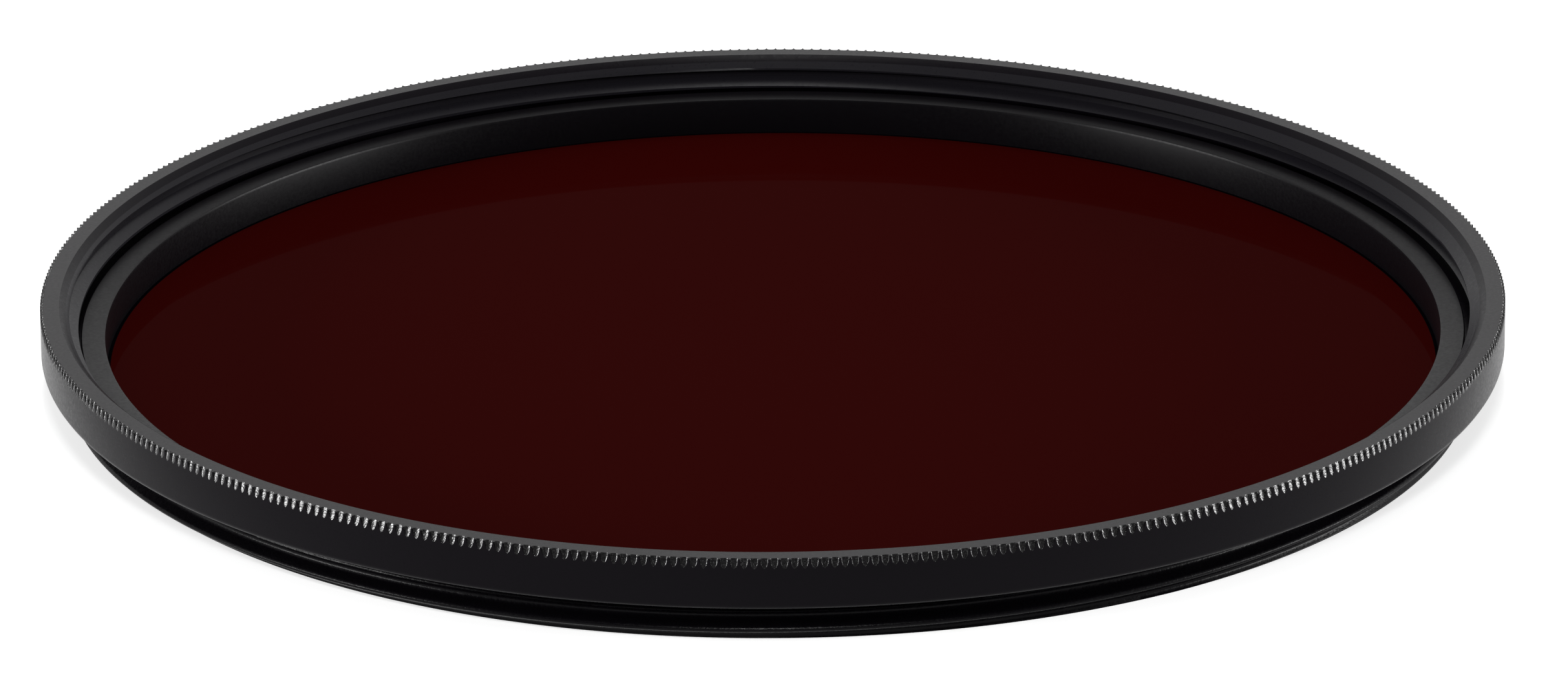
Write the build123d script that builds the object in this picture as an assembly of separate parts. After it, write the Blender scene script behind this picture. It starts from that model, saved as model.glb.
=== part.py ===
from build123d import *
from math import pi
import os

# Screw-in infrared filter for a camera lens. Millimetres.
# Z is the optical axis and points towards the scene. The rear end face lies in the plane z = 0.

# Standard thread at both ends: 49 mm across with a pitch of 0.75 mm
thread_radius = 24.5
thread_pitch = 0.75
outer_thread_depth = 0.6134 * thread_pitch
inner_thread_depth = 0.5413 * thread_pitch

# Frame, outside
rim_overhang = 0.9
frame_height = 3.32
shoulder_height = 1.51
shoulder_chamfer = 0.2
thread_end_chamfer = 0.32
relief_width = 0.45

# Frame, inside
mouth_depth = 0.616
step_height = 1.84
step_width = 0.374
seat_height = 0.34
seat_width = 0.42
bore_relief_gap = 0.1

# Knurl: short grooves across the front edge, deepest in the front face, that run out on the side
groove_pitch = 0.3325
groove_depth = 0.15
groove_length = 0.35
groove_width = 0.235

# Filter glass
glass_thickness = 0.7
glass_bevel = 0.1
glass_clearance = 0.07

# Retaining ring: a thin flange in the front bore on a sleeve that presses on the glass
ring_overhang = 0.15
ring_height = 1.12
ring_edge_chamfer = 0.1
sleeve_clearance = 0.09
flange_clearance = 0.08
flange_lift = 0.05

# Sizes that follow from the ones above
frame_radius = thread_radius + rim_overhang
relief_radius = thread_radius - outer_thread_depth
bore_radius = thread_radius - inner_thread_depth
mouth_radius = bore_radius + mouth_depth
pocket_radius = bore_radius - step_width
lip_radius = pocket_radius - seat_width
groove_count = round(2 * pi * frame_radius / groove_pitch)
glass_radius = pocket_radius - glass_clearance
glass_top = seat_height + glass_thickness
ring_radius = lip_radius - ring_overhang
ring_top = glass_top + ring_height
bore_relief_top = ring_top + bore_relief_gap
sleeve_radius = pocket_radius - sleeve_clearance
flange_radius = bore_radius - flange_clearance
flange_bottom = step_height + flange_lift


def turned(points):
    """Full turn about the optical axis of a closed section of (radius, height) points."""
    return revolve(Plane.XZ * make_face(Polyline(*points, close=True)), axis=Axis.Z)


def knurl_cutters():
    """One cutter per groove: a level V that moves outwards on its way down, at the rate that
    takes its point from the groove's full depth in the front face to the side of the frame."""
    rate = groove_depth / groove_length
    above = groove_length / 2
    height = 2 * groove_length
    point = frame_radius - groove_depth - rate * above
    reach = 2 * groove_depth
    half_width = groove_width / 2 * reach / groove_depth
    section = make_face(Polyline(
        (point, 0), (point + reach, -half_width), (point + reach, half_width), close=True))
    cutter = extrude(Pos(0, 0, frame_height + above) * section, amount=height, dir=(rate, 0, -1))
    return [Rot(0, 0, 360 * i / groove_count) * cutter for i in range(groove_count)]


def filter_frame():
    """Knurled rim, band, front bore, glass seat and rear thread in one turned piece. Both threads
    are cylinders that end in a relief, where the thread tool runs out."""
    blank = turned([
        (lip_radius, 0),
        (thread_radius - thread_end_chamfer, 0),
        (thread_radius, thread_end_chamfer),
        (thread_radius, shoulder_height - relief_width),
        (relief_radius, shoulder_height - relief_width),
        (relief_radius, shoulder_height),
        (frame_radius - shoulder_chamfer, shoulder_height),
        (frame_radius, shoulder_height + shoulder_chamfer),
        (frame_radius, frame_height),
        (mouth_radius, frame_height),
        (bore_radius, frame_height - mouth_depth),
        (bore_radius, bore_relief_top),
        (thread_radius, bore_relief_top),
        (thread_radius, step_height),
        (pocket_radius, step_height),
        (pocket_radius, seat_height),
        (lip_radius, seat_height),
    ])
    return blank.cut(*knurl_cutters())


def filter_glass():
    """Round disc with a ground bevel on both edges."""
    edge = glass_radius - glass_bevel
    return turned([
        (0, seat_height), (edge, seat_height), (glass_radius, seat_height + glass_bevel),
        (glass_radius, glass_top - glass_bevel), (edge, glass_top), (0, glass_top),
    ])


def retaining_ring():
    """Sleeve that stands on the glass, with a thin flange inside the front bore."""
    return turned([
        (ring_radius, glass_top), (sleeve_radius, glass_top), (sleeve_radius, flange_bottom),
        (flange_radius, flange_bottom), (flange_radius, ring_top),
        (ring_radius + ring_edge_chamfer, ring_top), (ring_radius, ring_top - ring_edge_chamfer),
    ])


os.makedirs("parts", exist_ok=True)
export_step(filter_frame(), "parts/filter_frame.step")
export_step(filter_glass(), "parts/filter_glass.step")
export_step(retaining_ring(), "parts/retaining_ring.step")
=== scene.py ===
"""Looks of the screw-in infrared filter: a knurled black frame with its two threads, the ring that
holds the glass, and the dark red glass. Lengths are in metres. Z is the optical axis."""

from math import atan2, copysign, cos, pi, radians, sin, tan, tau

import bmesh
import bpy
from mathutils import Matrix, Vector


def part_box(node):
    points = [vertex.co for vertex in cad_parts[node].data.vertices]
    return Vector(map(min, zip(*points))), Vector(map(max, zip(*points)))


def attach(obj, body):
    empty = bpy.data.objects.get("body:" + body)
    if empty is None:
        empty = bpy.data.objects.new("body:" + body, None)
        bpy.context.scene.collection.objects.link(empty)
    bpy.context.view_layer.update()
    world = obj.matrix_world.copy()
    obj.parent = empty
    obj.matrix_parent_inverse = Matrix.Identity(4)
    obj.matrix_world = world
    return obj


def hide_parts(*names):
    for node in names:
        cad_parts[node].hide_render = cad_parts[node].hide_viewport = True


mm = 0.001
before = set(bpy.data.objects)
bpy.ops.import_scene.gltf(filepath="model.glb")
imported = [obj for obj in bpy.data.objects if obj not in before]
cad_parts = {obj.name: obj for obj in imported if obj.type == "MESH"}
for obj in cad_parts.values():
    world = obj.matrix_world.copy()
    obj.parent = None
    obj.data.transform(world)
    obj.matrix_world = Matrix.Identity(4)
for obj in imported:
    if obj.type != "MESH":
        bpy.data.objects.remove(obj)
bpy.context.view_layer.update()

# Sizes that come from the solids
frame_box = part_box("filter_frame")
glass_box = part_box("filter_glass")
ring_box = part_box("retaining_ring")
rim_radius = frame_box[1].x
rim_top = frame_box[1].z
glass_radius = glass_box[1].x
glass_bottom = glass_box[0].z
flange_radius = ring_box[1].x
ring_top = ring_box[1].z

# Thread at both ends: 49 mm, pitch 0.75 mm, right-handed, with 60 degree flanks
thread_radius = 24.5 * mm
thread_pitch = 0.75 * mm
crest_width = thread_pitch / 8
flank_angle = radians(30)
flank_rows = 4

# Frame, from the rear end face to the rim
outer_root_radius = 24.06 * mm
end_inner_radius = 24.0 * mm
outer_relief_radius = 24.04 * mm
end_chamfer = 0.32 * mm
outer_thread_top = 1.06 * mm
shoulder_height = 1.51 * mm
shoulder_rounding = 0.2 * mm
shoulder_steps = 4
edge_break = 0.03 * mm
outer_crest_height = 0.45 * mm

# Frame, inside
mouth_radius = 24.71 * mm
bore_radius = 24.094 * mm
inner_root_radius = 24.5 * mm
inner_relief_radius = 24.52 * mm
inner_thread_bottom = 2.26 * mm
inner_groove_height = 2.655 * mm
step_height = 1.84 * mm
pocket_radius = 23.72 * mm
seat_height = 0.34 * mm
lip_radius = 23.3 * mm

# Knurl. A power below 1 gives the groove a flatter floor and steeper sides than a round one, and
# a power above 1 gives it a more pointed lower end.
groove_count = 480
groove_depth = 0.11 * mm
groove_length = 0.34 * mm
groove_width = 0.285 * mm
groove_floor_power = 0.55
groove_end_power = 1.3
groove_steps, groove_rows = 8, 5
knurl_inner_radius = rim_radius - 0.2 * mm
knurl_bottom = rim_top - 0.42 * mm

# Retaining ring and glass. The glass is drawn 0.17 mm thinner than its solid, so that its face
# shows as deep behind the ring as it does in the photo.
ring_radius = 23.15 * mm
ring_edge = 0.1 * mm
ring_edge_middle = 0.3 * ring_edge
ring_rounding = 0.04 * mm
sleeve_radius = 23.63 * mm
flange_bottom = 1.89 * mm
glass_bevel = 0.1 * mm
glass_top = 0.87 * mm
# Painted shade on the glass: near-black from this radius outward, standing in for the shadow at the
# foot of the ring, softened over the blur width
painted_shade_radius = 23.02 * mm
painted_shade_blur = 0.02 * mm

half_sector = pi / groove_count
weld = 0.0005 * mm
sharp_bend = radians(25)

# Places of the frame's finishes in its list of materials
BAND, FACE, KNURL, THREAD, INSIDE = range(5)


# Meshes

def chain(points):
    """New mesh of points (radius, height) joined in a row, half a sector before the X axis,
    where a column of vertices falls between two grooves."""
    bm = bmesh.new()
    turn = -half_sector
    verts = [bm.verts.new((r * cos(turn), r * sin(turn), z)) for r, z in points]
    for pair in zip(verts, verts[1:]):
        bm.edges.new(pair)
    return bm


def turned(points):
    """Full turn of a chain of (radius, height) points about the optical axis."""
    bm = chain(points)
    bmesh.ops.spin(bm, geom=bm.verts[:] + bm.edges[:], cent=(0, 0, 0), axis=(0, 0, 1),
                   angle=tau, steps=groove_count, use_merge=True)
    return bm


def joined(*parts):
    """One mesh from several whose edges meet, welded where they do."""
    whole = bmesh.new()
    for part in parts:
        mesh = bpy.data.meshes.new("part")
        part.to_mesh(mesh)
        part.free()
        whole.from_mesh(mesh)
        bpy.data.meshes.remove(mesh)
    weld_all(whole)
    return whole


def thread_section(crest_radius, root_radius):
    """One pitch of a thread from the middle of a crest up to the next, as (radius, height)."""
    depth = abs(crest_radius - root_radius)
    flank = depth * tan(flank_angle)
    root_width = thread_pitch - crest_width - 2 * flank
    points = [(crest_radius, 0), (crest_radius, crest_width / 2)]
    for i in range(1, flank_rows + 1):
        part = i / flank_rows
        points.append((crest_radius + part * (root_radius - crest_radius),
                       crest_width / 2 + part * flank))
    points.append((root_radius, crest_width / 2 + flank + root_width / 2))
    mirrored = [(r, thread_pitch - z) for r, z in reversed(points[:-1])]
    return points + mirrored


def radius_at(section, height):
    """Radius of a thread section at a height above the middle of a crest."""
    height = height % thread_pitch
    for (r0, z0), (r1, z1) in zip(section, section[1:]):
        if height <= z1:
            return r0 + (r1 - r0) * (height - z0) / (z1 - z0)
    return section[-1][0]


def helical_thread(section, crest_height, crest_turn, low, high, limit, rings, finish):
    """Right-hand thread between two heights. The crest passes crest_height at the angle
    crest_turn, and limit(radius, height) cuts the thread back to the cone at its end. At each
    height in rings a flat ring leads from the thread to the radius given there."""
    start = crest_height - thread_pitch * (crest_turn + half_sector) / tau
    start -= thread_pitch * (1 + int((start - low) / thread_pitch + 1))
    points = [(section[0][0], start)]
    while points[-1][1] < high:
        base = points[-1][1]
        points += [(r, base + z) for r, z in section[1:]]
    bm = chain(points)
    bmesh.ops.spin(bm, geom=bm.verts[:] + bm.edges[:], cent=(0, 0, 0), axis=(0, 0, 1),
                   dvec=(0, 0, thread_pitch / groove_count), angle=tau, steps=groove_count)
    for vert in bm.verts:
        angle = atan2(vert.co.y, vert.co.x)
        height = min(max(vert.co.z, low), high)
        above_crest = height - crest_height - thread_pitch * (angle - crest_turn) / tau
        radius = limit(radius_at(section, above_crest), height)
        vert.co = (radius * cos(angle), radius * sin(angle), height)
    weld_all(bm)
    for height, radius in rings.items():
        loop = [e for e in bm.edges if e.is_boundary
                and all(abs(v.co.z - height) < weld for v in e.verts)]
        for vert in bmesh.ops.extrude_edge_only(bm, edges=loop)["geom"]:
            if isinstance(vert, bmesh.types.BMVert):
                vert.co.xy *= radius / vert.co.xy.length
    for face in bm.faces:
        face.material_index = finish
    return bm


def weld_all(bm):
    """Merges vertices that meet and drops the faces and edges that this leaves without size."""
    bmesh.ops.remove_doubles(bm, verts=bm.verts, dist=weld)
    bmesh.ops.dissolve_degenerate(bm, edges=bm.edges, dist=weld / 2)


def knurl_sector(bm):
    """One pitch of the knurl: a scoop with a rounded floor and nearly parallel sides that is
    deepest in the front face and runs out on the side. The land round it is two faces."""
    net = bmesh.ops.create_grid(bm, x_segments=groove_steps, y_segments=groove_rows, size=1)["verts"]
    for face in bm.faces:
        face.material_index = KNURL
    near_one = 0.99
    arch = sorted((v for v in net if v.co.y > near_one), key=lambda v: v.co.x)
    left = sorted((v for v in net if v.co.x < -near_one), key=lambda v: -v.co.y)
    right = sorted((v for v in net if v.co.x > near_one), key=lambda v: v.co.y)
    for vert in net:
        across, along = vert.co.x * pi / 2, (1 - vert.co.y) * pi / 4
        aside = copysign(abs(sin(across)) ** groove_floor_power, across)
        depth = groove_depth * (1 - sin(along)) * max(cos(across), 0) ** groove_floor_power
        turn = aside * max(cos(along), 0) ** groove_end_power * groove_width / 2 / rim_radius
        radius = rim_radius - depth
        vert.co = (radius * cos(turn), radius * sin(turn), rim_top - groove_length * sin(along))

    def corners(radius, height):
        return [bm.verts.new((radius * cos(t), radius * sin(t), height))
                for t in (-half_sector, half_sector)]
    inner = corners(knurl_inner_radius, rim_top)
    edge = corners(rim_radius, rim_top)
    low = corners(rim_radius, knurl_bottom)
    front_land = bm.faces.new((inner[0], edge[0], *arch, edge[1], inner[1]))
    side_land = bm.faces.new((*edge[:1], *low, *edge[1:], *reversed(right[1:]), *reversed(left)))
    front_land.material_index, side_land.material_index = FACE, BAND
    weld_all(bm)


def knurl():
    """The knurled edge all round, open at its inner and lower rims."""
    bm = bmesh.new()
    knurl_sector(bm)
    bmesh.ops.spin(bm, geom=bm.verts[:] + bm.edges[:] + bm.faces[:], cent=(0, 0, 0), axis=(0, 0, 1),
                   angle=tau - 2 * half_sector, steps=groove_count - 1, use_duplicate=True)
    return bm


def sharpen(bm):
    """Faces of one finish shade smoothly across edges that bend less than sharp_bend. Inside the
    knurl grooves and the rear thread they always do."""
    for face in bm.faces:
        face.smooth = True
    for e in bm.edges:
        kinds = {face.material_index for face in e.link_faces}
        always = kinds in ({KNURL}, {THREAD})
        e.smooth = always or len(kinds) == 1 and e.calc_face_angle(0) < sharp_bend


def piece(name, bm, materials, node):
    """Makes an object of a mesh and puts it in the scene in place of its CAD node."""
    bmesh.ops.recalc_face_normals(bm, faces=bm.faces)
    sharpen(bm)
    mesh = bpy.data.meshes.new(name)
    bm.to_mesh(mesh)
    bm.free()
    for material in materials:
        mesh.materials.append(material)
    obj = bpy.data.objects.new(name, mesh)
    bpy.context.scene.collection.objects.link(obj)
    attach(obj, "root")
    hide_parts(node)
    return obj


def filter_frame_mesh():
    """Frame in one shell: knurl, band, both threads, reliefs and glass seat."""
    outer_section = thread_section(thread_radius, outer_root_radius)
    outer_thread = helical_thread(
        outer_section, outer_crest_height, -pi / 2, 0, outer_thread_top,
        lambda r, z: min(r, thread_radius - end_chamfer + z),
        {0: end_inner_radius, outer_thread_top: outer_relief_radius}, THREAD)

    cone_bottom = rim_top - (mouth_radius - bore_radius)
    inner_thread_top = cone_bottom + inner_relief_radius - bore_radius
    inner_section = thread_section(bore_radius, inner_root_radius)
    inner_thread = helical_thread(
        inner_section, inner_groove_height - thread_pitch / 2, pi / 2,
        inner_thread_bottom, inner_thread_top,
        lambda r, z: max(r, bore_radius + z - cone_bottom),
        {inner_thread_bottom: inner_relief_radius}, INSIDE)

    seat = turned([
        (inner_relief_radius, inner_thread_bottom),
        (inner_relief_radius, step_height),
        (pocket_radius, step_height),
        (pocket_radius, seat_height),
        (lip_radius, seat_height),
        (lip_radius, edge_break),
        (lip_radius + edge_break, 0),
        (end_inner_radius, 0),
    ])
    shoulder_turns = [i / shoulder_steps * pi / 2 for i in range(shoulder_steps + 1)]
    band = turned([
        (outer_relief_radius, outer_thread_top),
        (outer_relief_radius, shoulder_height),
        *[(rim_radius - shoulder_rounding * (1 - sin(t)),
           shoulder_height + shoulder_rounding * (1 - cos(t))) for t in shoulder_turns],
        (rim_radius, knurl_bottom),
    ])
    mouth = turned([
        (knurl_inner_radius, rim_top),
        (mouth_radius + edge_break, rim_top),
        (mouth_radius, rim_top - edge_break / 2),
        (inner_relief_radius, inner_thread_top),
    ])
    bm = joined(knurl(), band, outer_thread, seat, inner_thread, mouth)
    for face in bm.faces:
        if face.calc_center_median().z > rim_top - weld:
            face.material_index = FACE
    return bm


def retaining_ring_mesh():
    """Sleeve that stands on the glass, and its flange in the front bore."""
    return joined(turned([
        (ring_radius, glass_top), (sleeve_radius, glass_top), (sleeve_radius, flange_bottom),
        (flange_radius, flange_bottom), (flange_radius, ring_top - ring_rounding),
        (flange_radius - ring_rounding, ring_top),
        (ring_radius + ring_edge, ring_top),
        (ring_radius + ring_edge_middle, ring_top - ring_edge_middle),
        (ring_radius, ring_top - ring_edge), (ring_radius, glass_top),
    ]))


def filter_glass_mesh():
    """Round disc with a bevel on both edges."""
    edge = glass_radius - glass_bevel
    return joined(turned([
        (0, glass_bottom), (edge, glass_bottom), (glass_radius, glass_bottom + glass_bevel),
        (glass_radius, glass_top - glass_bevel), (edge, glass_top), (0, glass_top),
    ]))


# Materials

def finish_of(name):
    """New material, with its node tree and its shader."""
    material = bpy.data.materials.new(name)
    material.use_nodes = True
    tree = material.node_tree
    return material, tree, tree.nodes["Principled BSDF"]


def link(tree, source, output, target, socket):
    """Joins a node's output to another node's input, each by its name or number."""
    tree.links.new(source.outputs[output], target.inputs[socket])


def grain(tree, scale, detail):
    """Fine noise fixed to the object."""
    coordinates = tree.nodes.new("ShaderNodeTexCoord")
    noise = tree.nodes.new("ShaderNodeTexNoise")
    noise.inputs["Scale"].default_value = scale
    noise.inputs["Detail"].default_value = detail
    link(tree, coordinates, "Object", noise, "Vector")
    return noise


def range_of(tree, values):
    """Node that maps one range to another, from its sockets' values."""
    node = tree.nodes.new("ShaderNodeMapRange")
    for socket, value in values.items():
        node.inputs[socket].default_value = value
    return node


def rough_between(tree, noise, low, high, shader):
    """The noise, most of which lies between 0.3 and 0.7, sets the roughness."""
    scaled = range_of(tree, {"From Min": 0.3, "From Max": 0.7, "To Min": low, "To Max": high})
    link(tree, noise, "Fac", scaled, "Value")
    link(tree, scaled, "Result", shader, "Roughness")


def bumped(tree, noise, strength, depth, shader):
    """The noise lifts the surface by up to the depth."""
    bump = tree.nodes.new("ShaderNodeBump")
    bump.inputs["Strength"].default_value = strength
    bump.inputs["Distance"].default_value = depth
    link(tree, noise, "Fac", bump, "Height")
    link(tree, bump, "Normal", shader, "Normal")


def anodised(name, colour, gloss, roughness, grain_scale=9000, grain_detail=4,
             bump_strength=0.25, bump_depth=0.004 * mm):
    """Black anodised aluminium. Its fine grain varies the roughness and the relief."""
    material, tree, shader = finish_of(name)
    shader.inputs["Base Color"].default_value = (*colour, 1)
    shader.inputs["Specular IOR Level"].default_value = gloss
    noise = grain(tree, grain_scale, grain_detail)
    rough_between(tree, noise, *roughness, shader)
    bumped(tree, noise, bump_strength, bump_depth, shader)
    return material


def cut_by_tool(name, colour, gloss, roughness, grain_scale, bump_depth):
    """Anodised surface that a tool has left rough, so that small facets catch the lamps."""
    return anodised(name, colour, gloss, roughness, grain_scale, 1, 1, bump_depth)


def infrared_red():
    """Dark red glass with painted shade: a near-black ring at its edge, just inside the retaining
    ring, stands in for the shadow where the ring meets the glass.
    """
    material, tree, shader = finish_of("infrared red glass")
    coordinates = tree.nodes.new("ShaderNodeTexCoord")
    flat = tree.nodes.new("ShaderNodeVectorMath")
    flat.operation = "MULTIPLY"
    flat.inputs[1].default_value = (1, 1, 0)
    radius = tree.nodes.new("ShaderNodeVectorMath")
    radius.operation = "LENGTH"
    # Painted shade: past the radius the colour turns from red to near-black, standing in for the
    # shadow where the ring stands on the glass
    shade_mask = range_of(tree, {"From Min": painted_shade_radius,
                             "From Max": painted_shade_radius + painted_shade_blur})
    colour = tree.nodes.new("ShaderNodeMix")
    colour.data_type = "RGBA"
    colour.inputs["A"].default_value = (0.0205, 0.0009, 0.0007, 1)
    colour.inputs["B"].default_value = (0.0006, 0.0005, 0.0009, 1)
    link(tree, coordinates, "Object", flat, 0)
    link(tree, flat, "Vector", radius, 0)
    link(tree, radius, "Value", shade_mask, "Value")
    link(tree, shade_mask, "Result", colour, "Factor")
    link(tree, colour, "Result", shader, "Base Color")
    shader.inputs["Specular IOR Level"].default_value = 0.0005
    rough_between(tree, grain(tree, 300, 2), 0.03, 0.05, shader)
    return material


# Pieces

satin_black = anodised("satin black anodising", (0.0018, 0.0012, 0.0022), 0.055, (0.26, 0.36))
front_face = anodised("black front face", (0.006, 0.0052, 0.0062), 0.115, (0.26, 0.36))
inside_black = anodised("black inner thread", (0.006, 0.0055, 0.007), 0.08, (0.26, 0.36))
ring_black = anodised("ring black anodising", (0.002, 0.0016, 0.0022), 0.07, (0.3, 0.4))
knurl_cut = cut_by_tool("black knurl cuts", (0.003, 0.0026, 0.003), 0.5, (0.16, 0.3),
                        15000, 0.012 * mm)
thread_cut = cut_by_tool("black thread cuts", (0.0015, 0.0012, 0.0018), 0.07, (0.24, 0.34),
                         9000, 0.008 * mm)
red_glass = infrared_red()

frame_finishes = (satin_black, front_face, knurl_cut, thread_cut, inside_black)
piece("knurled_frame", filter_frame_mesh(), frame_finishes, "filter_frame")
piece("glass_ring", retaining_ring_mesh(), (ring_black,), "retaining_ring")
piece("infrared_glass", filter_glass_mesh(), (red_glass,), "filter_glass")


# Floor, light and camera

def larger(tree, first, second):
    """The larger of two outputs."""
    node = tree.nodes.new("ShaderNodeMath")
    node.operation = "MAXIMUM"
    tree.links.new(first, node.inputs[0])
    tree.links.new(second, node.inputs[1])
    return node.outputs[0]


def background_rays(tree):
    """1 for rays that see the background: from the camera, off gloss and through glass."""
    rays = tree.nodes.new("ShaderNodeLightPath").outputs
    seen = larger(tree, rays["Is Camera Ray"], rays["Is Glossy Ray"])
    return larger(tree, seen, rays["Is Transmission Ray"])


def white_world(ambient, dark_side):
    """White to the camera. In gloss it darkens to the level dark_side behind the camera, and it
    lights matt surfaces at the level ambient."""
    world = bpy.data.worlds.new("white surround")
    bpy.context.scene.world = world
    world.use_nodes = True
    tree = world.node_tree
    background = tree.nodes["Background"]
    background.inputs["Color"].default_value = (1, 1, 1, 1)
    level = range_of(tree, {"To Min": ambient})
    tree.links.new(background_rays(tree), level.inputs["Value"])
    direction = tree.nodes.new("ShaderNodeTexCoord")
    parts = tree.nodes.new("ShaderNodeSeparateXYZ")
    behind = range_of(tree, {"From Min": -0.8, "From Max": 0.1, "To Min": dark_side, "To Max": 1})
    behind.interpolation_type = "SMOOTHSTEP"
    link(tree, direction, "Generated", parts, "Vector")
    link(tree, parts, "Y", behind, "Value")
    camera_rays = tree.nodes.new("ShaderNodeLightPath").outputs["Is Camera Ray"]
    tree.links.new(larger(tree, behind.outputs["Result"], camera_rays), level.inputs["To Max"])
    link(tree, level, "Result", background, "Strength")


def white_floor(radius, grey, glow_level):
    """Pale round table that glows a little to the camera, so that only its darkest shadow shows."""
    bm = bmesh.new()
    bmesh.ops.create_circle(bm, cap_ends=True, segments=96, radius=radius)
    mesh = bpy.data.meshes.new("floor")
    bm.to_mesh(mesh)
    bm.free()
    material, tree, shader = finish_of("white table")
    shader.inputs["Base Color"].default_value = (grey, grey, grey, 1)
    shader.inputs["Specular IOR Level"].default_value = 0
    shader.inputs["Roughness"].default_value = 1
    shader.inputs["Emission Color"].default_value = (1, 1, 1, 1)
    glow = tree.nodes.new("ShaderNodeMath")
    glow.operation = "MULTIPLY"
    glow.inputs[1].default_value = glow_level
    tree.links.new(background_rays(tree), glow.inputs[0])
    link(tree, glow, 0, shader, "Emission Strength")
    mesh.materials.append(material)
    floor = bpy.data.objects.new("floor", mesh)
    bpy.context.scene.collection.objects.link(floor)


def soft_lamp(name, direction, width, height, level):
    """Rectangular lamp that faces the filter. level is the light it gives a surface that faces
    it, where 1 shows a colour as it is written."""
    distance = 0.6
    lamp = bpy.data.lights.new(name, "AREA")
    lamp.shape = "RECTANGLE"
    lamp.size, lamp.size_y = width, height
    lamp.energy = level * (pi * distance) ** 2
    obj = bpy.data.objects.new(name, lamp)
    bpy.context.scene.collection.objects.link(obj)
    away = Vector(direction).normalized()
    obj.location = Vector((0, 0, rim_top)) + away * distance
    obj.rotation_mode = "QUATERNION"
    obj.rotation_quaternion = (-away).to_track_quat("-Z", "Y")


def photo_camera(elevation, distance, lens, roll, aim):
    """Camera in front of the filter that looks down at it."""
    data = bpy.data.cameras.new("camera")
    data.lens, data.sensor_width = lens, 36
    data.clip_start, data.clip_end = 0.01, 10
    obj = bpy.data.objects.new("camera", data)
    bpy.context.scene.collection.objects.link(obj)
    back = Vector((0, -cos(elevation), sin(elevation)))
    obj.location = Vector((0, 0, rim_top)) + back * distance
    view = (Vector(aim) - obj.location).to_track_quat("-Z", "Y").to_matrix()
    obj.rotation_mode = "QUATERNION"
    obj.rotation_quaternion = (view @ Matrix.Rotation(roll, 3, "Z")).to_quaternion()
    bpy.context.scene.camera = obj


white_world(0.42, 0.12)
white_floor(2.0, 0.6, 0.6)
soft_lamp("top strip lamp", (0.0, 0.17, 0.986), 0.08, 0.4, 0.3)
soft_lamp("front lamp", (0.0, -0.72, 0.69), 0.1, 0.1, 0.4)
soft_lamp("left lamp", (-0.93, -0.27, 0.2), 0.3, 0.12, 1.0)
soft_lamp("right lamp", (0.97, -0.02, 0.17), 0.36, 0.12, 1.0)
photo_camera(elevation=radians(20.36), distance=0.42333, lens=279.94, roll=radians(-0.366),
             aim=(0.384 * mm, -0.628 * mm, 1.629 * mm))

bpy.context.scene.view_settings.view_transform = "Standard"
